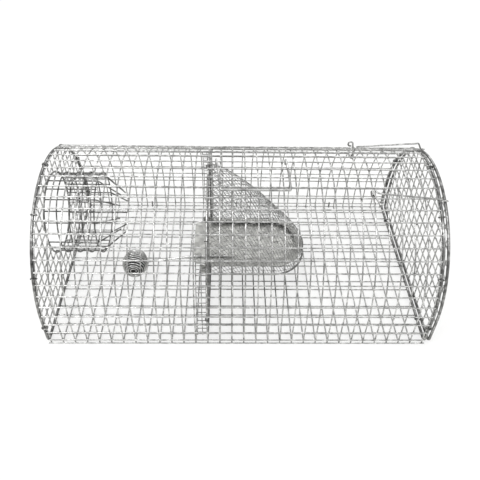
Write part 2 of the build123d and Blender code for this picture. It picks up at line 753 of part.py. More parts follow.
starts, ends = [], []
for k in range(1, panel_rows):
    z = (k + 0.5) * mesh_pitch
    half = level_half(z, mesh_wire, panel_trim, panel_trim, (), 0.0)
    starts.append((door_x + layer_shift, -half, z))
    ends.append((door_x + layer_shift, half, z))
with BuildPart() as door_level_wires:
    add(rods(starts, ends, mesh_wire))
save(door_level_wires, "door_level_wires")

with BuildPart() as door_hinge_rings:
    for cell in hinge_ring_cells:
        y = -long_radius + cell * floor_step
        ring_plane = Plane(origin=(door_x, y, bar_z), x_dir=(1, 0, 0), z_dir=(0, -1, 0))
        add(link(ring_plane, (end_x - door_x, 0), frame_r + clip_clearance, clip_wire))
save(door_hinge_rings, "door_hinge_rings")

# ---------------------------------------------------------------- carry handle
handle_place = foot_overhang + (top_cell + 1) * arch_step
handle_eye_radius = wire_r + handle_clearance + handle_r
handle_leg_radius = long_radius + handle_eye_radius
handle_knee_radius = handle_leg_radius / cos(radians(handle_drop / 2))
handle_x = [partition_x + cell * hoop_step for cell in handle_cells]
handle_turn = 180 - arch_tilt(handle_place)
eye_y, eye_z = arch_point(handle_place, long_radius)


def leg_point(x, drop, radius):
    """Point of the handle's leg, some degrees down the arch from the eyes."""
    angle = radians(handle_turn + drop)
    return (radius * cos(angle), side_height + radius * sin(angle), x)


with BuildPart() as carry_handle:
    with BuildLine(Plane.YZ) as handle_path:
        FilletPolyline(leg_point(handle_x[0], 0, handle_leg_radius),
                       leg_point(handle_x[0], handle_drop / 2, handle_knee_radius),
                       leg_point(handle_x[0], handle_drop, handle_leg_radius),
                       leg_point(handle_x[1], handle_drop, handle_leg_radius),
                       leg_point(handle_x[1], handle_drop / 2, handle_knee_radius),
                       leg_point(handle_x[1], 0, handle_leg_radius), radius=handle_bend)
        for x in handle_x:
            CenterArc((eye_y, eye_z, x), handle_eye_radius, handle_turn, -handle_eye_wrap)
    handle_route = handle_path.wires()[0]
    with BuildSketch(Plane(origin=handle_route @ 0, z_dir=handle_route % 0)):
        Circle(handle_r)
    sweep(path=handle_route)
save(carry_handle, "carry_handle")


# ---------------------------------------------------------------- latches
def wire_latch(cell, hoops_back, rise, skew, lift, stem_start, stem_way, stem_length, eye_axis):
    """Spring wire latch: coil on a hoop, rod with a hook over the door frame, finger loop."""
    coil_x = hoop_x[-1 - hoops_back]
    plane = arch_plane(coil_x, cell_position(top_cell + cell), hoop_radius)
    hook_x = door_x - coil_x
    frame_rho = sqrt(hoop_radius ** 2 - skew ** 2) - hoop_radius
    hook_radius = frame_r + latch_frame_gap + latch_r
    top = frame_rho + hook_radius
    eye_way = plane.from_local_coords(stem_way) - plane.origin
    eye_normal = plane.from_local_coords(eye_axis) - plane.origin
    eye_plane = Plane(origin=plane.from_local_coords(stem_start), x_dir=eye_way, z_dir=eye_normal)
    knee = [(rod_root + latch_wire, coil_turn + lift, -coil_end)] if lift else []
    with BuildPart() as latch:
        with BuildSketch(Plane(origin=plane.origin, x_dir=plane.z_dir, z_dir=-plane.x_dir)):
            for k in range(latch_turns):
                with Locations(((k - (latch_turns - 1) / 2) * coil_pitch, coil_turn)):
                    Circle(latch_r)
        revolve(axis=Axis(plane.origin, plane.z_dir))
        with BuildLine(plane) as rod_path:
            FilletPolyline((rod_root, coil_turn, -coil_end), *knee,
                           (hook_x - hook_shoulder, top + rise, skew),
                           (hook_x - hook_landing, top, skew), (hook_x, top, skew), radius=latch_bend)
            CenterArc((hook_x, frame_rho, skew), hook_radius, 90, -latch_wrap)
        with BuildLine(eye_plane) as eye_path:
            Line((0, 0), (stem_length, 0))
            CenterArc((stem_length, eye_radius), eye_radius, -90, eye_wrap)
        for path in (rod_path, eye_path):
            route = path.wires()[0]
            with BuildSketch(Plane(origin=route @ 0, z_dir=route % 0)):
                Circle(latch_r)
            sweep(path=route)
    return latch.part


coil_turn = wire_r + latch_bore_gap + latch_r
coil_pitch = 0.97 * latch_wire
coil_end = (latch_turns - 1) / 2 * coil_pitch
rod_root = coil_turn + latch_r
with BuildPart() as front_latch:
    add(wire_latch(front_latch_cell, front_latch_hoop, front_latch_rise, front_latch_skew, 0,
                   (0.65, 1.62, coil_end), (0.1, 0.5, 1), front_stem, (0, 1, -0.5)))
save(front_latch, "front_latch")
with BuildPart() as rear_latch:
    add(wire_latch(rear_latch_cell, rear_latch_hoop, rear_latch_rise, rear_latch_skew, rear_rod_lift,
                   (-0.3, coil_turn, coil_end), (-0.2, 1, 0.25), rear_stem, (0, -0.25, 1)))
save(rear_latch, "rear_latch")
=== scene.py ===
"""Looks of a half-round live catch trap: welded wire cage, woven hood, tilting plate, door and latches."""
import json
import logging
import math
from dataclasses import dataclass, field
from enum import Enum

import bpy
import numpy as np
from mathutils import Matrix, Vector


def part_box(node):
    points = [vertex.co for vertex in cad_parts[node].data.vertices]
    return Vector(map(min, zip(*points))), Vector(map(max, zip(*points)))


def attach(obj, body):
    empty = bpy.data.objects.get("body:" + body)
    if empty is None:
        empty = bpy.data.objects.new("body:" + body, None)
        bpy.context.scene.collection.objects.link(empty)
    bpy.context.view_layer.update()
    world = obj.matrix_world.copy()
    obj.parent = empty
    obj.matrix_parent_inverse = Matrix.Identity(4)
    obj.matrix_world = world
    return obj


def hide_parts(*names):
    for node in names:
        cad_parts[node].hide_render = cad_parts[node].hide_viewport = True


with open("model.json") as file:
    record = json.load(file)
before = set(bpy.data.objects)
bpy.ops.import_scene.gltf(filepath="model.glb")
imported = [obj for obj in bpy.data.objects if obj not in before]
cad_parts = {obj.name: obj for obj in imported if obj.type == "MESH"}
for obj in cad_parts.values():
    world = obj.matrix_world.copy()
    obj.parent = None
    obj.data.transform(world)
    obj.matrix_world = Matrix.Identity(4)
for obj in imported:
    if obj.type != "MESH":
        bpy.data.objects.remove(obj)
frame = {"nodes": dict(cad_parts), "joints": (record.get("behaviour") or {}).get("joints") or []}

LOG = logging.getLogger("trap")
MM = 0.001
RAMP_STOPS = (0.25, 0.5, 0.75)      # noise values of the dark, main and bright zinc
SPANGLE_SHARE = 0.45                # zinc crystals in the sheet's pattern
DULLER, GLOSSIER = 0.1, 0.08        # roughness added in the dark patches, taken off in the bright
PIT_DEPTH = 0.1 * MM
NUGGET_SIDES = (8, 3)               # points round a weld nugget, and rings of them


# ---------------------------------------------------------------- finishes
def linear(hex_colour: str) -> tuple[float, float, float, float]:
    """Turn an sRGB hex colour into linear values.

    Args:
        hex_colour: six hex digits, such as "9a9a92".

    Returns:
        Linear red, green and blue, with an alpha of 1.
    """
    srgb = np.array([int(hex_colour[i:i + 2], 16) / 255 for i in (0, 2, 4)])
    value = np.where(srgb <= 0.04045, srgb / 12.92, ((srgb + 0.055) / 1.055) ** 2.4)
    return (float(value[0]), float(value[1]), float(value[2]), 1.0)


def add_node(tree: bpy.types.NodeTree, kind: str, links: dict | None = None, **settings) -> bpy.types.Node:
    """Add one shader node with its settings, its input values and its links.

    Args:
        tree: the node tree that gets the node.
        kind: the node's type name.
        links: input name or number to a constant, or to the output socket that feeds it.
        settings: the node's own properties.

    Returns:
        The new node.
    """
    node = tree.nodes.new(kind)
    for key, value in settings.items():
        setattr(node, key, value)
    for key, value in (links or {}).items():
        if isinstance(value, bpy.types.NodeSocket):
            tree.links.new(value, node.inputs[key])
        else:
            node.inputs[key].default_value = value
    return node


def colour_ramp(tree: bpy.types.NodeTree, factor: bpy.types.NodeSocket,
                stops: list[tuple[float, str]]) -> bpy.types.NodeSocket:
    """Add a colour ramp.

    Args:
        tree: the node tree.
        factor: socket that drives the ramp.
        stops: place from 0 to 1 and hex colour of each stop.

    Returns:
        The ramp's colour output.
    """
    ramp = add_node(tree, "ShaderNodeValToRGB", {"Fac": factor})
    elements = ramp.color_ramp.elements
    while len(elements) < len(stops):
        elements.new(0.5)
    for element, (place, colour) in zip(elements, stops):
        element.position = place
        element.color = linear(colour)
    return ramp.outputs["Color"]


@dataclass(frozen=True)
class ZincFinish:
    """Zinc on steel: a dull skin that is brighter where it is rubbed and darker where it has bloomed.

    The patches come from noise in the object's own coordinates, so each wire varies along its length.
    """

    name: str
    dark: str                 # bloomed zinc
    body: str                 # most of the surface
    bright: str               # rubbed spots
    roughness: float
    patch_mm: float           # width of the light and dark patches
    grain_mm: float           # width of the fine pits
    bump: float
    metallic: float = 1.0
    spangle_mm: float = 0.0   # width of the zinc crystals, on sheet only

    def material(self) -> bpy.types.Material:
        """Build the node material.

        Returns:
            The material, named for the finish.
        """
        made = bpy.data.materials.new(self.name)
        made.use_nodes = True
        tree = made.node_tree
        tree.nodes.clear()
        place = add_node(tree, "ShaderNodeTexCoord").outputs["Object"]
        patches = add_node(tree, "ShaderNodeTexNoise",
                           {"Vector": place, "Scale": 1 / (self.patch_mm * MM), "Detail": 3.0,
                            "Roughness": 0.6})
        factor = patches.outputs["Fac"]
        if self.spangle_mm:
            crystals = add_node(tree, "ShaderNodeTexVoronoi",
                                {"Vector": place, "Scale": 1 / (self.spangle_mm * MM), "Randomness": 1.0})
            grey = add_node(tree, "ShaderNodeRGBToBW", {"Color": crystals.outputs["Color"]})
            mixed = add_node(tree, "ShaderNodeMix",
                             {"Factor": SPANGLE_SHARE, 2: factor, 3: grey.outputs["Val"]}, data_type="FLOAT")
            factor = mixed.outputs[0]
        colour = colour_ramp(tree, factor, list(zip(RAMP_STOPS, (self.dark, self.body, self.bright))))
        gloss = add_node(tree, "ShaderNodeMapRange",
                         {"Value": factor, "From Min": RAMP_STOPS[0], "From Max": RAMP_STOPS[-1],
                          "To Min": self.roughness + DULLER, "To Max": self.roughness - GLOSSIER})
        pits = add_node(tree, "ShaderNodeTexNoise",
                        {"Vector": place, "Scale": 1 / (self.grain_mm * MM), "Detail": 2.0})
        relief = add_node(tree, "ShaderNodeBump", {"Height": pits.outputs["Fac"], "Strength": self.bump,
                                                   "Distance": PIT_DEPTH})
        shader = add_node(tree, "ShaderNodeBsdfPrincipled",
                          {"Base Color": colour, "Roughness": gloss.outputs["Result"],
                           "Normal": relief.outputs["Normal"], "Metallic": self.metallic})
        add_node(tree, "ShaderNodeOutputMaterial", {"Surface": shader.outputs["BSDF"]})
        return made


class Finish(Enum):
    """Every finish of the trap."""

    # Bright drawn wire, zinc coated: pale and glossy with soft grey patches.
    WELDED_WIRE = ZincFinish("galvanised_welded_wire", "6e6e6d", "b4b4b3", "efefee", 0.26, 5.0, 0.5, 0.25)
    # The heavier frame wire is dipped, so the skin is a little duller and lumpier.
    FRAME_WIRE = ZincFinish("dipped_frame_wire", "444443", "7c7c7b", "c4c4c3", 0.30, 6.0, 0.7, 0.35)
    # Sheet with crystals of zinc a few millimetres wide, scuffed by feet.
    ZINC_SHEET = ZincFinish("galvanised_sheet", "989896", "aeaeab", "c4c4c1", 0.46, 14.0, 0.6, 0.20, 0.9, 4.5)
    # Fine woven mesh: dull grey, dusty between the wires.
    WOVEN_MESH = ZincFinish("galvanised_woven_mesh", "4c4c4b", "9a9a99", "eaeae9", 0.42, 3.0, 0.4, 0.30)
    # Clips are pinched shut, which brightens their bends.
    CLIP_WIRE = ZincFinish("crimped_clip_wire", "333332", "6c6c6b", "d2d2d0", 0.32, 2.0, 0.4, 0.30)
    # Spring wire of the latches and the axle: hard drawn and bright.
    SPRING_WIRE = ZincFinish("bright_spring_wire", "6a6a69", "a8a8a7", "dcdcdb", 0.24, 4.0, 0.5, 0.20)
    # Handle wire: worn grey by hands.
    HANDLE_WIRE = ZincFinish("handled_bail_wire", "6a6a69", "b0b0af", "e0e0df", 0.30, 9.0, 0.5, 0.20)
    # Funnel wires: darker all over, painted shade for the funnel lying in shadow inside the cage.
    FUNNEL_WIRE = ZincFinish("funnel_wire_painted_shade", "3a3a39", "6c6c6b", "bcbcbb", 0.34, 6.0, 0.5, 0.30)
    # Near black with no metal: painted shade, put under the hood ledge's lip and inside the counterweight's
    # turns, where shade falls.
    PAINTED_SHADE = ZincFinish("painted_shade_black", "101010", "191918", "2c2c2b", 0.80, 2.0, 0.4, 0.40, 0.0)
    # Wound counterweight: bright turns, over a near black barrel of painted shade.
    WEIGHT_WIRE = ZincFinish("wound_weight_wire", "8e8e8d", "cacac9", "f0f0ef", 0.30, 3.0, 0.5, 0.30)


class Wardrobe:
    """Makes each finish's material once and puts it on pieces."""

    def __init__(self) -> None:
        """Start with no material made."""
        self.made: dict[Finish, bpy.types.Material] = {}

    def material(self, finish: Finish) -> bpy.types.Material:
        """Return the finish's material, made at its first use."""
        if finish not in self.made:
            self.made[finish] = finish.value.material()
        return self.made[finish]

    def dress(self, piece: bpy.types.Object, finish: Finish) -> None:
        """Give a piece, or a node of the frame, one finish all over.

        Args:
            piece: the object to dress.
            finish: its finish.
        """
        if not piece.data.materials:
            piece.data.materials.append(self.material(finish))
        for number in range(len(piece.material_slots)):
            piece.material_slots[number].material = self.material(finish)


# ---------------------------------------------------------------- surfaces
@dataclass
class Surface:
    """Points and faces of one mesh, gathered from many tubes or grids."""

    points: list[np.ndarray] = field(default_factory=list)
    faces: list[list[int]] = field(default_factory=list)
    count: int = 0

    def add(self, points: np.ndarray, faces: list[list[int]]) -> None:
        """Add points, and faces that count from the first of them."""
        self.points.append(points)
        self.faces += [[self.count + corner for corner in face] for face in faces]
        self.count += len(points)

    def make(self, name: str) -> bpy.types.Object:
        """Put the surface into a smooth-shaded mesh object at the origin.

        Args:
            name: the object's name.

        Returns:
            The object, linked into the scene.
        """
        mesh = bpy.data.meshes.new(name)
        mesh.from_pydata(np.vstack(self.points).tolist(), [], self.faces)
        mesh.validate()
        mesh.shade_smooth()
        made = bpy.data.objects.new(name, mesh)
        bpy.context.scene.collection.objects.link(made)
        return made


def unit(vectors: np.ndarray) -> np.ndarray:
    """Return the vectors, each divided by its length."""
    return vectors / np.maximum(np.linalg.norm(vectors, axis=-1, keepdims=True), 1e-12)


def tube(surface: Surface, path: np.ndarray, radius: float, side_on: np.ndarray, sides: int = 8) -> None:
    """Carry a round profile along a path and close both ends.

    Each point of the path gets a ring of points: the path's point, plus the radius times the cosine and
    sine of the ring's angle along two directions square to the path.

    Args:
        surface: gathers the tube.
        path: points along the wire.
        radius: the wire's radius.
        side_on: one direction, or one for each point, that is never along the path.
        sides: points round the wire.
    """
    along = unit(np.gradient(path, axis=0))
    across = unit(np.cross(along, np.broadcast_to(side_on, path.shape)))
    upward = np.cross(across, along)
    angle = np.arange(sides) * 2 * np.pi / sides
    ring = across[:, None] * np.cos(angle)[None, :, None] + upward[:, None] * np.sin(angle)[None, :, None]
    points = (path[:, None] + radius * ring).reshape(-1, 3)
    row, column = np.meshgrid(np.arange(len(path) - 1), np.arange(sides), indexing="ij")
    after = (column + 1) % sides
    quads = np.stack([row * sides + column, row * sides + after,
                      (row + 1) * sides + after, (row + 1) * sides + column], axis=-1).reshape(-1, 4)
    last = (len(path) - 1) * sides
    faces = quads[:, ::-1].tolist()
    faces += [list(range(sides)), list(range(last + sides - 1, last - 1, -1))]
    surface.add(points, faces)


def softened(path: np.ndarray, passes: int = 2) -> np.ndarray:
    """Round a path's corners.

    Each pass swaps every stretch for the points at one and three quarters of it; the ends stay.

    Args:
        path: the path's points.
        passes: how many times.

    Returns:
        The rounder path.
    """
    for _ in range(passes):
        early = 0.75 * path[:-1] + 0.25 * path[1:]
        late = 0.25 * path[:-1] + 0.75 * path[1:]
        inner = np.stack([early, late], axis=1).reshape(-1, 3)
        path = np.vstack([path[:1], inner, path[-1:]])
    return path


def nuggets(surface: Surface, centres: np.ndarray, outward: np.ndarray, lengthwise: np.ndarray,
            size: tuple[float, float, float]) -> None:
    """Add a weld nugget at each crossing: a flattened ball, its three half sizes along three directions.

    A point of the ball is the centre plus, for a latitude and a longitude, the cosine of the latitude
    times the cosine and sine of the longitude along the two wires, and the sine of the latitude outwards.

    Args:
        surface: gathers the nuggets.
        centres: one point for each crossing.
        outward: the direction square to both wires, one for each crossing.
        lengthwise: the direction of one wire.
        size: half sizes lengthwise, across and outwards.
    """
    around, rings = NUGGET_SIDES
    longitude = np.arange(around) * 2 * np.pi / around
    latitude = (np.arange(1, rings + 1) / (rings + 1) - 0.5) * np.pi
    flat = np.cos(latitude)[:, None]
    ball = np.stack([flat * np.cos(longitude), flat * np.sin(longitude),
                     np.sin(latitude)[:, None] + 0 * longitude], axis=-1).reshape(-1, 3)
    ball = np.vstack([ball, [[0, 0, -1], [0, 0, 1]]]) * np.array(size)
    sideways = np.cross(outward, lengthwise)
    spread = (ball[None, :, :1] * lengthwise[:, None] + ball[None, :, 1:2] * sideways[:, None]
              + ball[None, :, 2:] * outward[:, None])
    points = centres[:, None] + spread
    faces = []
    for ring in range(rings - 1):
        for step in range(around):
            after = (step + 1) % around
            faces.append([ring * around + step, ring * around + after,
                          (ring + 1) * around + after, (ring + 1) * around + step])
    south, north, top = rings * around, rings * around + 1, (rings - 1) * around
    for step in range(around):
        after = (step + 1) % around
        faces.append([south, after, step])
        faces.append([north, top + step, top + after])
    for cluster in points:
        surface.add(cluster, faces)


# ---------------------------------------------------------------- sub-assemblies
@dataclass
class Part:
    """What every sub-assembly shares: its wardrobe and how it hands a piece over."""

    wardrobe: Wardrobe

    def hand_over(self, piece: bpy.types.Object, finish: Finish, body: str, slot: str,
                  stands_for: tuple[str, ...] = ()) -> None:
        """Dress a new piece, put it on its body and report it.

        Args:
            piece: the new object.
            finish: its finish.
            body: the frame's body that it moves with.
            slot: the record's material slot; not used.
            stands_for: nodes of the frame that it replaces.
        """
        self.wardrobe.dress(piece, finish)
        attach(piece, body)
        if stands_for:
            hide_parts(*stands_for)
        LOG.info("%s: %d faces on %s", piece.name, len(piece.data.polygons), body)


def box_of(node: str) -> tuple[np.ndarray, np.ndarray]:
    """Return the lowest and highest corner of a node of the frame, as arrays in metres."""
    low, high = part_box(node)
    return np.array(low), np.array(high)


@dataclass
class CageWelds(Part):
    """Weld nuggets where the wires of the roof and floor cross."""

    wire: float = 1.4 * MM
    pitch: float = 12.7 * MM
    foot: float = 6.0 * MM          # lowest lengthwise wire above the floor
    side_height: float = 35.0 * MM  # straight foot of each wall
    nugget: tuple[float, float, float] = (1.0 * MM, 1.0 * MM, 0.85 * MM)

    def hoop_places(self) -> np.ndarray:
        """Return the hoops' places along the cage, spread evenly over the roof's length."""
        low, high = box_of("roof_hoop_wires")
        first, last = low[0] + self.wire / 2, high[0] - self.wire / 2
        return np.linspace(first, last, round((last - first) / self.pitch) + 1)

    def roof_centres(self) -> tuple[np.ndarray, np.ndarray]:
        """Work out the roof's crossings.

        A place along the roof is a height on the straight foot, and beyond it an angle round the arch.

        Returns:
            The crossings' points and the outward direction at each.
        """
        low, high = box_of("roof_long_wires")
        radius = (high[1] - low[1]) / 2 - self.wire
        total = 2 * self.side_height + np.pi * (radius + self.wire / 2)
        cells = round((total - 2 * self.foot) / self.pitch)
        place = np.linspace(self.foot, total - self.foot, cells + 1)
        angle = np.clip((place - self.side_height) / (radius + self.wire / 2), 0, np.pi)
        height = np.minimum(np.minimum(place, total - place), self.side_height)
        outward = np.stack([0 * angle, -np.cos(angle), np.sin(angle)], axis=-1)
        arch = np.stack([0 * angle, -radius * np.cos(angle), height + radius * np.sin(angle)], axis=-1)
        along = self.hoop_places()
        points = arch[None] + np.stack([along, 0 * along, 0 * along], axis=-1)[:, None]
        return points.reshape(-1, 3), np.tile(outward, (len(along), 1))

    def floor_centres(self) -> np.ndarray:
        """Return the points where the floor's two layers of wires cross."""
        low, high = box_of("floor_long_wires")
        edge = high[1] - self.wire / 2
        across = np.linspace(-edge, edge, round(2 * edge / self.pitch) + 1)[1:-1]
        along = self.hoop_places()[1:-1]
        grid_x, grid_y = np.meshgrid(along, across, indexing="ij")
        return np.stack([grid_x.ravel(), grid_y.ravel(), np.full(grid_x.size, self.wire)], axis=-1)

    def build(self) -> None:
        """Make the roof's and the floor's nuggets."""
        centres, outward = self.roof_centres()
        roof = Surface()
        nuggets(roof, centres, outward, np.tile([1.0, 0, 0], (len(centres), 1)), self.nugget)
        self.hand_over(roof.make("roof_welds"), Finish.WELDED_WIRE, "cage", "galvanised_wire")
        centres = self.floor_centres()
        floor = Surface()
        nuggets(floor, centres, np.tile([0, 0, 1.0], (len(centres), 1)),
                np.tile([1.0, 0, 0], (len(centres), 1)), self.nugget)
        self.hand_over(floor.make("floor_welds"), Finish.WELDED_WIRE, "cage", "galvanised_wire")


@dataclass
class PanelWelds(Part):
    """Weld nuggets of a flat arched panel: the entry panel or the door."""

    name: str = "door"
    body: str = "door"
    columns_at: float = 0.0         # first upright wire beside the middle, in pitches
    mouth_node: str = ""            # ring that the panel is cut round
    wire: float = 1.4 * MM
    pitch: float = 12.7 * MM
    floor_pitch: float = 12.7 * MM
    side_height: float = 35.0 * MM
    nugget: tuple[float, float, float] = (0.85 * MM, 1.0 * MM, 1.0 * MM)
    half_columns: int = 9           # upright wires on each side of the middle
    rows: int = 11

    def build(self) -> None:
        """Make a nugget at each crossing that lies inside the arch and outside the mouth."""
        upright_low, upright_high = box_of(f"{self.name}_upright_wires")
        level_low, level_high = box_of(f"{self.name}_level_wires")
        reach = level_high[1] - self.wire
        steps = np.arange(-self.half_columns, self.half_columns + 1) + self.columns_at
        levels = (np.arange(1, self.rows + 1) + 0.5) * self.pitch
        column, row = np.meshgrid(steps * self.floor_pitch, levels)
        above = np.maximum(row - self.side_height, 0)
        keep = (np.hypot(column, above) < reach) & (row < level_high[2]) & (np.abs(column) < upright_high[1])
        if self.mouth_node:
            low, high = box_of(self.mouth_node)
            middle = (low + high) / 2
            ring = (high[1] - low[1]) / 2 + self.wire
            keep &= np.hypot(column - middle[1], row - middle[2]) > ring
        place = (np.maximum(upright_low[0], level_low[0]) + np.minimum(upright_high[0], level_high[0])) / 2
        centres = np.stack([np.full(keep.sum(), place), column[keep], row[keep]], axis=-1)
        welds = Surface()
        nuggets(welds, centres, np.tile([1.0, 0, 0], (len(centres), 1)),
                np.tile([0, 1.0, 0], (len(centres), 1)), (self.nugget[1], self.nugget[2], self.nugget[0]))
        self.hand_over(welds.make(f"{self.name}_welds"), Finish.WELDED_WIRE, self.body, "galvanised_wire")


@dataclass
class Hood(Part):
    """Scoop of fine mesh, woven on the bias, that covers the plate."""

    pitch: float = 4.5 * MM          # between neighbouring wires
    wire: float = 0.56 * MM
    sheet: float = 1.0 * MM          # thickness of the frame's stand-in, which the weave stays inside
    nose: float = 36.0 * MM
    base_wire: float = 2.0 * MM
    ridge_power: float = 1.45
    stations: int = 90
    columns: int = 80
    crown_points: int = 60
    wall_points: int = 20
    weave_step: float = 0.8 * MM     # between the points of one wire
    slope_step: float = 0.4 * MM     # reach of the slope's reading
    shortest: int = 4                # points of the shortest wire that is laid
    weave_sides: int = 5

    def outline(self) -> tuple[np.ndarray, np.ndarray]:
        """Work out the hood's plan outline on one side: a straight side, then a quarter ellipse.

        Returns:
            The stations' places along the cage and the half widths there.
        """
        low, high = box_of("hood_mesh")
        self.start, self.half = low[0], high[1] - self.sheet / 2
        _, base_high = box_of("hood_base_wire")
        self.nose_start = base_high[0] - self.base_wire / 4 - self.nose
        straight = np.linspace(self.start, self.nose_start, self.stations // 2)
        turn = np.linspace(0, np.pi / 2, self.stations // 2)[1:]
        bulge = self.nose - self.sheet / 2
        along = np.concatenate([straight, self.nose_start + bulge * np.sin(turn)])
        half = np.concatenate([0 * straight + self.half, self.half * np.cos(turn)])
        return along, half

    def sections(self) -> None:
        """Work out the hood's surface as points on a grid of station and distance down from the ridge.

        Each section is a half ellipse on a straight wall. Its points are spread evenly by length.
        """
        along, half = self.outline()
        low, high = box_of("hood_mesh")
        _, rim_high = box_of("hood_rim")
        shoulder = rim_high[2]
        run = np.clip((along - self.start) / (along[-1] - self.start), 0, 1)
        rise = high[2] - shoulder - self.sheet
        ridge = shoulder + self.sheet / 2 + rise * (1 - run ** self.ridge_power)
        spring = np.maximum(ridge - half, shoulder)
        turn = np.linspace(0, np.pi / 2, self.crown_points)
        crown_y = half[:, None] * np.sin(turn)
        crown_z = spring[:, None] + (ridge - spring)[:, None] * np.cos(turn)
        drop = np.linspace(0, 1, self.wall_points)[1:]
        wall_y = half[:, None] + 0 * drop
        wall_z = spring[:, None] + (low[2] - spring)[:, None] * drop
        side, up = np.hstack([crown_y, wall_y]), np.hstack([crown_z, wall_z])
        step = np.hypot(np.diff(side, axis=1), np.diff(up, axis=1))
        length = np.hstack([np.zeros((len(along), 1)), np.cumsum(step, axis=1)])
        share = np.linspace(0, 1, self.columns)
        self.depth = length[:, -1]
        self.grid_y = np.array([np.interp(share * r[-1], r, s) for r, s in zip(length, side)])
        self.grid_z = np.array([np.interp(share * r[-1], r, u) for r, u in zip(length, up)])
        self.grid_x = along
        edge = np.hypot(np.diff(along), np.diff(half))
        self.run = np.concatenate([[0], np.cumsum(edge)])

    def at(self, along: np.ndarray, down: np.ndarray) -> np.ndarray:
        """Points of the hood's surface.

        Args:
            along: distance along the base outline from the partition.
            down: distance down from the ridge, negative on the near side.

        Returns:
            The points, read between the grid's own.
        """
        row = np.interp(along, self.run, np.arange(len(self.run)))
        first = np.clip(row.astype(int), 0, len(self.run) - 2)
        part = row - first
        share = np.clip(np.abs(down) / np.interp(along, self.run, self.depth), 0, 1) * (self.columns - 1)
        column = np.clip(share.astype(int), 0, self.columns - 2)
        rest = share - column

        def read(grid: np.ndarray) -> np.ndarray:
            """Return the grid's value between its four nearest points."""
            upper = grid[first, column] * (1 - rest) + grid[first, column + 1] * rest
            lower = grid[first + 1, column] * (1 - rest) + grid[first + 1, column + 1] * rest
            return upper * (1 - part) + lower * part

        x = self.grid_x[first] * (1 - part) + self.grid_x[first + 1] * part
        return np.stack([x, np.sign(down) * read(self.grid_y), read(self.grid_z)], axis=-1)

    def normal(self, along: np.ndarray, down: np.ndarray) -> np.ndarray:
        """Return the outward directions, square to the surface's two slopes."""
        nudge = self.slope_step
        limit = self.run[-1]
        ahead, behind = np.minimum(along + nudge, limit), np.maximum(along - nudge, 0)
        forward = self.at(ahead, down) - self.at(behind, down)
        sideways = self.at(along, down + nudge) - self.at(along, down - nudge)
        return unit(np.cross(forward, sideways))

    def weave(self) -> Surface:
        """Lay both sets of diagonal wires, each passing over and under the other.

        A wire keeps the difference, or the sum, of its two distances. It stands off the surface by a
        quarter of its thickness times the cosine of its distance along, in pitches.

        Returns:
            The wires.
        """
        woven = Surface()
        spacing = self.pitch * math.sqrt(2)
        deepest = self.depth.max()
        count = int((self.run[-1] + deepest) / spacing) + 1
        down = np.arange(-deepest, deepest, self.weave_step)
        for slope in (-1, 1):
            for number in range(-count, count + 1):
                along = number * spacing + slope * down
                keep = (along >= 0) & (along <= self.run[-1])
                keep &= np.abs(down) <= np.interp(along, self.run, self.depth) - self.wire / 2
                cuts = np.flatnonzero(np.diff(keep.astype(int))) + 1
                for piece in np.split(np.arange(len(down)), cuts):
                    if len(piece) < self.shortest or not keep[piece[0]]:
                        continue
                    self.lay(woven, along[piece], down[piece], slope, number, spacing)
        return woven

    def lay(self, woven: Surface, along: np.ndarray, down: np.ndarray, slope: int, number: int,
            spacing: float) -> None:
        """Add one wire of the weave.

        Args:
            woven: gathers the wires.
            along: the wire's distances along the outline.
            down: its distances down from the ridge.
            slope: -1 or 1, the set that the wire belongs to.
            number: the wire's number in its set.
            spacing: between the wires of a set, along the outline.
        """
        other = (along + slope * down) / spacing
        lift = slope * (-1) ** number * np.cos(np.pi * other) * self.wire / 4
        outward = self.normal(along, down)
        tube(woven, self.at(along, down) + outward * lift[:, None], self.wire / 2, outward,
             self.weave_sides)

    def build(self) -> None:
        """Make the woven hood, which stands for the frame's plain sheet."""
        self.sections()
        self.hand_over(self.weave().make("hood_weave"), Finish.WOVEN_MESH, "cage", "fine_mesh",
                       ("hood_mesh",))


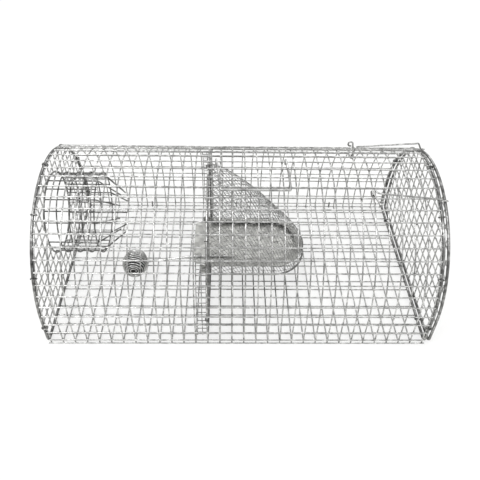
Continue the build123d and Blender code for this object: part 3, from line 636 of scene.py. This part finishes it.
@dataclass
class Counterweight(Part):
    """Wire wound into an open barrel round the end of the lever, over a near black inner layer of painted
    shade between the turns.
    """

    turns: int = 10
    closing_turns: float = 2.6        # flat spiral that closes each end
    wire: float = 1.5 * MM
    taper: float = 4.5 * MM           # end turns are this much smaller in radius
    eye: float = 2.6 * MM             # hole in the middle of each end
    longer: float = 1.6 * MM          # winding beyond the frame's barrel, at each end
    shade_share: float = 0.83          # painted shade layer's radius, as a share of the winding's
    around: int = 40
    wire_sides: int = 8
    shade_stations: int = 61
    shade_end: float = 2.0 * MM        # radius of the painted shade layer's flat ends

    def build(self) -> None:
        """Wind the outer turns and turn the inner layer of painted shade.

        A turn's place across the barrel grows with its angle, and its radius falls off from the middle
        by the square of that place. A flat spiral closes each end down to the eye.
        """
        low, high = box_of("counterweight_coil")
        middle = (low + high) / 2
        largest = (high[0] - low[0]) / 2 - self.wire / 2
        half = (high[1] - low[1]) / 2 - self.wire / 2 + self.longer
        spread = np.linspace(-1, 1, self.turns * self.around)
        inner = np.linspace(0, 1, 3 * self.around)
        closing = self.eye + (largest - self.taper - self.eye) * inner
        flat_turn = 2 * np.pi * self.closing_turns * inner
        barrel_turn = flat_turn[-1] + (spread + 1) * np.pi * self.turns
        radius = np.concatenate([closing[:-1], largest - self.taper * spread ** 2, closing[-2::-1]])
        angle = np.concatenate([flat_turn[:-1], barrel_turn, barrel_turn[-1] + flat_turn[1:]])
        across = half * np.concatenate([0 * inner[1:] - 1, spread, 0 * inner[1:] + 1])
        path = np.stack([middle[0] + radius * np.cos(angle), middle[1] + across,
                         middle[2] + radius * np.sin(angle)], axis=-1)
        winding = Surface()
        tube(winding, path, self.wire / 2, np.array([0, 1.0, 0.02]), self.wire_sides)
        self.hand_over(winding.make("counterweight_winding"), Finish.WEIGHT_WIRE, "tilt", "bright_wire",
                       ("counterweight_coil",))
        self.shade_barrel(middle, largest, half)

    def shade_barrel(self, middle: np.ndarray, largest: float, half: float) -> None:
        """Turn the inner layer of painted shade: a near black barrel, its profile a parabola, that darkens
        the gaps between the turns.

        Args:
            middle: the winding's centre.
            largest: the winding's largest radius.
            half: half of its width.
        """
        spread = np.linspace(-1, 1, self.shade_stations)
        profile = (largest - self.taper * spread ** 2) * self.shade_share
        profile = np.concatenate([[self.shade_end], profile, [self.shade_end]])
        across = np.concatenate([[-half], half * spread, [half]])
        turn = np.arange(self.around) * 2 * np.pi / self.around
        points = np.stack([middle[0] + profile[:, None] * np.cos(turn),
                           middle[1] + across[:, None] + 0 * turn,
                           middle[2] + profile[:, None] * np.sin(turn)], axis=-1).reshape(-1, 3)
        row, column = np.meshgrid(np.arange(len(profile) - 1), np.arange(self.around), indexing="ij")
        after = (column + 1) % self.around
        quads = np.stack([row * self.around + column, (row + 1) * self.around + column,
                          (row + 1) * self.around + after, row * self.around + after], axis=-1)
        last = (len(profile) - 1) * self.around
        faces = quads.reshape(-1, 4).tolist()
        faces += [list(range(self.around)), list(range(last + self.around - 1, last - 1, -1))]
        layer = Surface()
        layer.add(points, faces)
        # painted shade: near black barrel, seen through the gaps between the turns
        self.hand_over(layer.make("counterweight_painted_shade"), Finish.PAINTED_SHADE, "tilt", "bright_wire")


@dataclass
class Bail(Part):
    """Carry handle: one wire with an eye round the roof's wire at each end."""

    wire: float = 2.3 * MM
    roof_wire: float = 1.4 * MM
    gap: float = 0.25 * MM
    eye_places: tuple[float, float] = (-23.5 * MM, 48.5 * MM)
    bar_places: tuple[float, float] = (-18.5 * MM, 51.0 * MM)
    drop: float = 21.6                # degrees of arch from the eyes to the bar
    wrap: float = 280.0
    side_height: float = 35.0 * MM
    bow: float = 1.3 * MM             # leg above the arch, half way down
    bar_gap: float = 0.4 * MM         # bar above the arch, beyond the eyes' own height
    bar_shares: tuple[float, ...] = (0.04, 0.3, 0.7, 0.96)
    side_on: tuple[float, float, float] = (0.35, -0.8, 0.49)
    wire_sides: int = 10

    def build(self) -> None:
        """Make the bail as one tube: eye, leg, bar, leg, eye.

        An eye is an arc round the roof's wire. A leg follows the arch, and stands off it by the sine of
        its share of the way down.
        """
        joint = next(item for item in frame["joints"] if item["name"] == "handle_swing")
        hub = np.array(joint["pos_m"])
        arch = math.hypot(hub[1], hub[2] - self.side_height)
        radius = (self.wire + self.roof_wire) / 2 + self.gap
        start = math.atan2(hub[2] - self.side_height, hub[1])
        turn = np.linspace(start - math.radians(self.wrap), start, 30)
        eye = np.stack([0 * turn, hub[1] + radius * np.cos(turn), hub[2] + radius * np.sin(turn)], axis=-1)
        share = np.linspace(0, 1, 9)[1:]
        fall = start + np.radians(self.drop) * share
        leg_radius = arch + radius + self.bow * np.sin(np.pi * share) + self.bar_gap * share
        leg = np.stack([0 * share, leg_radius * np.cos(fall),
                        self.side_height + leg_radius * np.sin(fall)], axis=-1)
        sides = []
        for eye_place, bar_place in zip(self.eye_places, self.bar_places):
            shift = np.stack([eye_place + (bar_place - eye_place) * share, 0 * share, 0 * share], axis=-1)
            sides.append(np.vstack([eye + [eye_place, 0, 0], leg + shift]))
        first, second = sides[0][-1], sides[1][-1]
        bar = first + (second - first) * np.array(self.bar_shares)[:, None]
        path = softened(np.vstack([sides[0], bar, sides[1][::-1]]), 2)
        handle = Surface()
        tube(handle, path, self.wire / 2, np.array(self.side_on), self.wire_sides)
        self.hand_over(handle.make("carry_bail"), Finish.HANDLE_WIRE, "handle", "bright_wire",
                       ("carry_handle",))


@dataclass
class HoodLedge(Part):
    """Sheet ledge round the plate, its inner lip lifted clear of the plate, over a near black strip of
    painted shade under the lip.
    """

    sheet: float = 0.8 * MM
    nose: float = 36.0 * MM
    base_wire: float = 2.0 * MM
    width: float = 9.0 * MM
    lift: float = 3.0 * MM
    shade_back: float = 1.6 * MM       # painted shade strip, this far in behind the lip
    shade_sheet: float = 0.3 * MM
    side_points: int = 30
    nose_points: int = 60
    points_across: int = 14
    shade_points: int = 4

    def rail(self, inset: np.ndarray, height: np.ndarray) -> np.ndarray:
        """Carry points round the hood's outline: a straight side, a half ellipse, a straight side.

        Args:
            inset: each point's distance inside the outline.
            height: each point's height.

        Returns:
            The points on a grid: along the outline first, across second.
        """
        low, high = box_of("hood_rim")
        _, base_high = box_of("hood_base_wire")
        nose_start = base_high[0] - self.base_wire / 4 - self.nose
        half, nose = high[1], high[0] - nose_start
        straight = np.linspace(low[0], nose_start, self.side_points)
        turn = np.linspace(-np.pi / 2, np.pi / 2, self.nose_points)[1:-1]
        along = np.concatenate([straight, nose_start + 0 * turn, straight[::-1]])
        bulge = np.concatenate([0 * straight, np.cos(turn), 0 * straight])
        side = np.concatenate([0 * straight - 1, np.sin(turn), 0 * straight + 1])
        x = along[:, None] + bulge[:, None] * (nose - inset)[None]
        y = side[:, None] * (half - inset)[None]
        return np.stack([x, y, 0 * x + height[None]], axis=-1)

    def ribbon(self, name: str, grid: np.ndarray, finish: Finish, thick: float,
               stands_for: tuple[str, ...] = ()) -> None:
        """Make a strip from a grid of points and give it a wall.

        Args:
            name: the piece's name.
            grid: its points.
            finish: its finish.
            thick: its wall.
            stands_for: nodes of the frame that it replaces.
        """
        rows, columns = grid.shape[:2]
        row, column = np.meshgrid(np.arange(rows - 1), np.arange(columns - 1), indexing="ij")
        first = row * columns + column
        quads = np.stack([first, first + 1, first + columns + 1, first + columns], axis=-1).reshape(-1, 4)
        strip = Surface()
        strip.add(grid.reshape(-1, 3), quads[:, ::-1].tolist())
        piece = strip.make(name)
        wall = piece.modifiers.new("wall", "SOLIDIFY")
        wall.thickness = thick
        wall.offset = 0.0
        self.hand_over(piece, finish, "cage", "galvanised_sheet", stands_for)

    def build(self) -> None:
        """Make the ledge and a near black strip of painted shade under its lip.

        The ledge's height rises from its outer edge to its lip by the square of the distance across.
        """
        low, high = box_of("hood_rim")
        across = np.linspace(0, 1, self.points_across)
        middle = (low[2] + high[2]) / 2
        self.ribbon("hood_ledge", self.rail(across * self.width, middle + self.lift * across ** 2),
                    Finish.ZINC_SHEET, self.sheet, ("hood_rim",))
        # painted shade: a near black upright strip under the lip, standing for the shade the ledge casts at
        # the plate's edge
        edge = np.linspace(0, 1, self.shade_points)
        inset = 0 * edge + self.width - self.shade_back
        top = middle + self.lift * (inset / self.width) ** 2 - self.sheet / 2
        self.ribbon("hood_ledge_painted_shade", self.rail(inset, low[2] + (top - low[2]) * edge), Finish.PAINTED_SHADE,
                    self.shade_sheet)


@dataclass
class Latch(Part):
    """Spring wire latch: finger loop, helix round a hoop, rod, and a hook over the door's frame."""

    node: str = "front_latch"
    body: str = "latch_front"
    joint: str = "front_latch_lift"
    skew: float = 9.0 * MM            # hook beside the coil, along the hoop
    rise: float = 2.5 * MM            # rod above the hook's own height
    stem: tuple[float, float, float] = (0.1, 0.5, 1.0)
    stem_length: float = 15.0 * MM
    start_turn: float = 0.06          # where the helix begins, in turns
    loop_axis: tuple[float, float, float] = (0.0, 1.0, -0.5)
    wire: float = 1.8 * MM
    hoop_wire: float = 1.4 * MM
    hoop_gap: float = 0.15 * MM
    turns: int = 4
    loop: float = 2.4 * MM
    lift: float = 0.0                 # height that the rod gains straight off the coil
    side_step: float = 3.6 * MM       # place along the hoop that it gains there
    wrap: float = 50.0
    side_height: float = 35.0 * MM
    frame_wire: float = 3.0 * MM
    hook_gap: float = 0.3 * MM
    coil_points: int = 26             # for each turn
    rod_start: float = 2.5 * MM       # from the coil's middle, along the cage
    rod_off: float = 0.15 * MM        # rod's start outside the coil
    knee: float = 4.5 * MM
    straight_from: float = 8.0 * MM
    straight_to: float = 9.0 * MM     # the rest are distances before the door frame
    shoulder: float = 5.5 * MM
    drop_middle: float = 3.4 * MM
    landing: float = 2.2 * MM
    wire_sides: int = 10

    def route(self) -> np.ndarray:
        """Work out the wire's middle line in the latch's own directions.

        The loop is an arc; the helix is a circle whose place along the hoop falls with its angle; the
        hook is an arc round the door frame's wire.

        Returns:
            The points: along the cage, outwards, and along the hoop.
        """
        radius = (self.hoop_wire + self.wire) / 2 + self.hoop_gap
        pitch = 0.97 * self.wire
        end = (self.turns - 1) / 2 * pitch
        hook_radius = (self.frame_wire + self.wire) / 2 + self.hook_gap
        arch = math.hypot(self.origin[1], self.origin[2] - self.side_height)
        drop = math.sqrt(arch ** 2 - self.skew ** 2) - arch
        low, high = box_of("door_frame")
        hook_x = (low[0] + high[0]) / 2 - self.origin[0]
        top = drop + hook_radius
        turn = np.linspace(-self.turns + self.start_turn, 0, self.coil_points * self.turns) * 2 * np.pi
        helix = np.stack([radius * np.sin(turn), radius * np.cos(turn),
                          np.linspace(end, -end, len(turn))], axis=-1)
        stem_way = unit(np.array(self.stem))
        side_way = unit(np.cross(np.array(self.loop_axis), stem_way))
        stem_end = helix[0] + stem_way * self.stem_length
        sweep = np.radians(np.linspace(200, -90, 40))
        ring = (stem_end + side_way * self.loop)[None] + self.loop * (
            np.cos(sweep)[:, None] * stem_way + np.sin(sweep)[:, None] * side_way)
        stem = helix[0] + stem_way * np.linspace(self.stem_length, 0.5 * MM, 6)[1:, None]
        rod = np.array([[self.rod_start, radius + self.rod_off, -end],
                        [self.knee, radius + self.lift, -end + 0.8 * self.side_step],
                        [self.straight_from, radius + self.lift + 0.07 * self.rise, -end + self.side_step],
                        [hook_x - self.straight_to, top + 0.97 * self.rise,
                         self.skew - 0.06 * (self.skew + end)],
                        [hook_x - self.shoulder, top + self.rise, self.skew],
                        [hook_x - self.drop_middle, top + 0.35 * self.rise, self.skew],
                        [hook_x - self.landing, top, self.skew]])
        bend = np.radians(np.linspace(90, 90 - self.wrap, 10))
        hook = np.stack([hook_x + hook_radius * np.cos(bend), drop + hook_radius * np.sin(bend),
                         0 * bend + self.skew], axis=-1)
        return np.vstack([ring, stem, helix, rod, hook])

    def build(self) -> None:
        """Make the latch's wire on its joint's own directions."""
        joint = next(item for item in frame["joints"] if item["name"] == self.joint)
        self.origin = np.array(joint["pos_m"])
        hoopwise = unit(np.array(joint["axis"]))
        cagewise = np.array([1.0, 0, 0])
        outward = np.cross(hoopwise, cagewise)
        local = softened(self.route(), 2)
        path = self.origin + local @ np.stack([cagewise, outward, hoopwise])
        wire = Surface()
        tube(wire, path, self.wire / 2, hoopwise + 0.05 * outward, self.wire_sides)
        self.hand_over(wire.make(f"{self.node}_wire"), Finish.SPRING_WIRE, self.body, "bright_wire",
                       (self.node,))


@dataclass
class CarriedNodes(Part):
    """Finishes of the frame's own nodes, which keep their shape."""

    finishes: dict[Finish, tuple[str, ...]] = field(default_factory=lambda: {
        Finish.WELDED_WIRE: ("roof_hoop_wires", "roof_long_wires", "floor_cross_wires", "floor_long_wires",
                             "entry_upright_wires", "entry_level_wires", "door_upright_wires",
                             "door_level_wires"),
        Finish.FUNNEL_WIRE: ("tunnel_rings", "tunnel_long_wires", "tunnel_spike_wires"),
        Finish.FRAME_WIRE: ("entry_end_frame", "exit_end_ring", "door_frame", "entry_mouth_ring",
                            "partition_frame", "hood_mouth_wire", "hood_base_wire"),
        Finish.ZINC_SHEET: ("hood_rim", "tilt_plate", "pivot_brackets", "lever_clips"),
        Finish.WOVEN_MESH: ("hood_mesh", "partition_upright_wires", "partition_level_wires",
                            "partition_flange_wires"),
        Finish.CLIP_WIRE: ("seam_rings", "entry_clips", "exit_clips", "partition_ties", "door_hinge_rings"),
        Finish.SPRING_WIRE: ("carry_handle", "front_latch", "rear_latch", "plate_axle"),
        Finish.WEIGHT_WIRE: ("lever_arm", "counterweight_coil"),
    })

    def build(self) -> None:
        """Dress every node and report each."""
        for finish, names in self.finishes.items():
            for name in names:
                self.wardrobe.dress(frame["nodes"][name], finish)
                LOG.info("%s: %s", name, finish.value.name)


# ---------------------------------------------------------------- studio
@dataclass
class Studio:
    """Pale floor, soft lamps, plain world and the camera."""

    wall_level: float = 0.28          # light from the room's walls
    ceiling_level: float = 0.95       # light from its ceiling
    ceiling_from: float = 0.7         # height, as the sine of the elevation, where the ceiling begins
    lamps: tuple[tuple[str, tuple[float, float, float], float, float], ...] = (
                    ("key", (-0.7, -0.5, 1.3), 0.8, 11.0),   # name, place, size, power
                    ("fill", (1.0, -0.8, 0.9), 1.0, 5.0),
                    ("back", (0.2, 1.2, 0.9), 1.0, 6.0))
    aim: tuple[float, float, float] = (0.0, 0.0, 0.08)
    camera_place: tuple[float, float, float] = (-0.010479, -0.458982, 0.474019)
    yaw: float = 1.677
    pitch: float = 43.14
    roll: float = 1.423
    lens: float = 40.6
    sensor: float = 36.0
    nearest: float = 0.01
    floor_size: float = 10.0
    floor_drop: float = 0.2 * MM      # floor under the lowest wires
    floor_colour: str = "f4f4f2"
    floor_glow: float = 0.72          # share of the floor's own glow that the camera sees

    def camera(self) -> None:
        """Set the camera: turned by the yaw, tipped down by the pitch, then rolled about its view."""
        yaw, pitch, roll = (math.radians(value) for value in (self.yaw, self.pitch, self.roll))
        ahead = np.array([math.sin(yaw) * math.cos(pitch), math.cos(yaw) * math.cos(pitch), -math.sin(pitch)])
        level = np.array([math.cos(yaw), -math.sin(yaw), 0.0])
        upright = np.cross(level, ahead)
        right = math.cos(roll) * level + math.sin(roll) * upright
        above = -math.sin(roll) * level + math.cos(roll) * upright
        data = bpy.data.cameras.new("camera")
        data.lens = self.lens
        data.sensor_width = self.sensor
        data.clip_start = self.nearest
        lens = bpy.data.objects.new("camera", data)
        turn = Matrix(np.stack([right, above, -ahead], axis=1).tolist()).to_4x4()
        lens.matrix_world = Matrix.Translation(self.camera_place) @ turn
        bpy.context.scene.collection.objects.link(lens)
        bpy.context.scene.camera = lens

    def lamp(self, name: str, place: tuple[float, float, float], size: float, power: float) -> None:
        """Add a square soft lamp that faces the middle of the cage.

        Args:
            name: the lamp's name.
            place: where it stands.
            size: its side.
            power: its strength in watts.
        """
        data = bpy.data.lights.new(name, "AREA")
        data.size = size
        data.energy = power
        lamp = bpy.data.objects.new(name, data)
        away = unit(np.array(place) - np.array(self.aim))
        side = unit(np.cross([0, 1.0, 0.001], away))
        turn = Matrix(np.stack([side, np.cross(away, side), away], axis=1).tolist()).to_4x4()
        lamp.matrix_world = Matrix.Translation(place) @ turn
        bpy.context.scene.collection.objects.link(lamp)

    def floor(self) -> None:
        """Lay the floor: white paper that shows near white to the camera and keeps a faint shadow."""
        half = self.floor_size / 2
        sheet = Surface()
        sheet.add(np.array([[-half, -half, 0], [half, -half, 0], [half, half, 0], [-half, half, 0]]) -
                  np.array([0, 0, self.floor_drop]), [[0, 1, 2, 3]])
        piece = sheet.make("floor")
        paper = bpy.data.materials.new("white_paper")
        paper.use_nodes = True
        tree = paper.node_tree
        tree.nodes.clear()
        matte = add_node(tree, "ShaderNodeBsdfDiffuse", {"Color": linear(self.floor_colour)})
        glow = add_node(tree, "ShaderNodeEmission", {"Color": (1, 1, 1, 1), "Strength": 1.0})
        rays = add_node(tree, "ShaderNodeLightPath")
        share = add_node(tree, "ShaderNodeMath", {0: rays.outputs["Is Camera Ray"], 1: self.floor_glow},
                         operation="MULTIPLY")
        mixed = add_node(tree, "ShaderNodeMixShader", {0: share.outputs[0], 1: matte.outputs[0],
                                                       2: glow.outputs[0]})
        add_node(tree, "ShaderNodeOutputMaterial", {"Surface": mixed.outputs[0]})
        piece.data.materials.append(paper)

    def world(self) -> None:
        """Set the world: white to the camera, a room with grey walls and a pale ceiling to the object."""
        room = bpy.data.worlds.new("room")
        room.use_nodes = True
        tree = room.node_tree
        tree.nodes.clear()
        rays = add_node(tree, "ShaderNodeLightPath")
        way = add_node(tree, "ShaderNodeTexCoord").outputs["Generated"]
        height = add_node(tree, "ShaderNodeSeparateXYZ", {"Vector": way}).outputs["Z"]
        wall = add_node(tree, "ShaderNodeMapRange",
                        {"Value": height, "From Min": 0.0, "From Max": self.ceiling_from,
                         "To Min": self.wall_level, "To Max": self.ceiling_level})
        strength = add_node(tree, "ShaderNodeMix", {"Factor": rays.outputs["Is Camera Ray"],
                                                    2: wall.outputs["Result"], 3: 1.0}, data_type="FLOAT")
        back = add_node(tree, "ShaderNodeBackground",
                        {"Color": (1, 1, 1, 1), "Strength": strength.outputs[0]})
        add_node(tree, "ShaderNodeOutputWorld", {"Surface": back.outputs[0]})
        bpy.context.scene.world = room

    def build(self) -> None:
        """Set the stage."""
        self.camera()
        for name, place, size, power in self.lamps:
            self.lamp(name, place, size, power)
        self.floor()
        self.world()
        bpy.context.scene.view_settings.view_transform = "Standard"


def main() -> None:
    """Build every sub-assembly in order and report each piece."""
    logging.basicConfig(level=logging.INFO, format="%(name)s: %(message)s")
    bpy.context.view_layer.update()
    wardrobe = Wardrobe()
    parts = [
        CarriedNodes(wardrobe),
        CageWelds(wardrobe),
        PanelWelds(wardrobe, name="entry", body="cage", columns_at=0.5, mouth_node="entry_mouth_ring"),
        PanelWelds(wardrobe, name="door", body="door", columns_at=0.0),
        Hood(wardrobe),
        HoodLedge(wardrobe),
        Counterweight(wardrobe),
        Bail(wardrobe),
        Latch(wardrobe),
        Latch(wardrobe, node="rear_latch", body="latch_rear", joint="rear_latch_lift", skew=-20.0 * MM,
              rise=6.5 * MM, stem=(-0.2, 1.0, 0.25), stem_length=17.0 * MM, start_turn=0.25,
              loop_axis=(0.0, -0.25, 1.0), lift=7.0 * MM, side_step=-1.0 * MM),
    ]
    for part in parts:
        part.build()
    Studio().build()


if __name__ == "__main__":
    main()
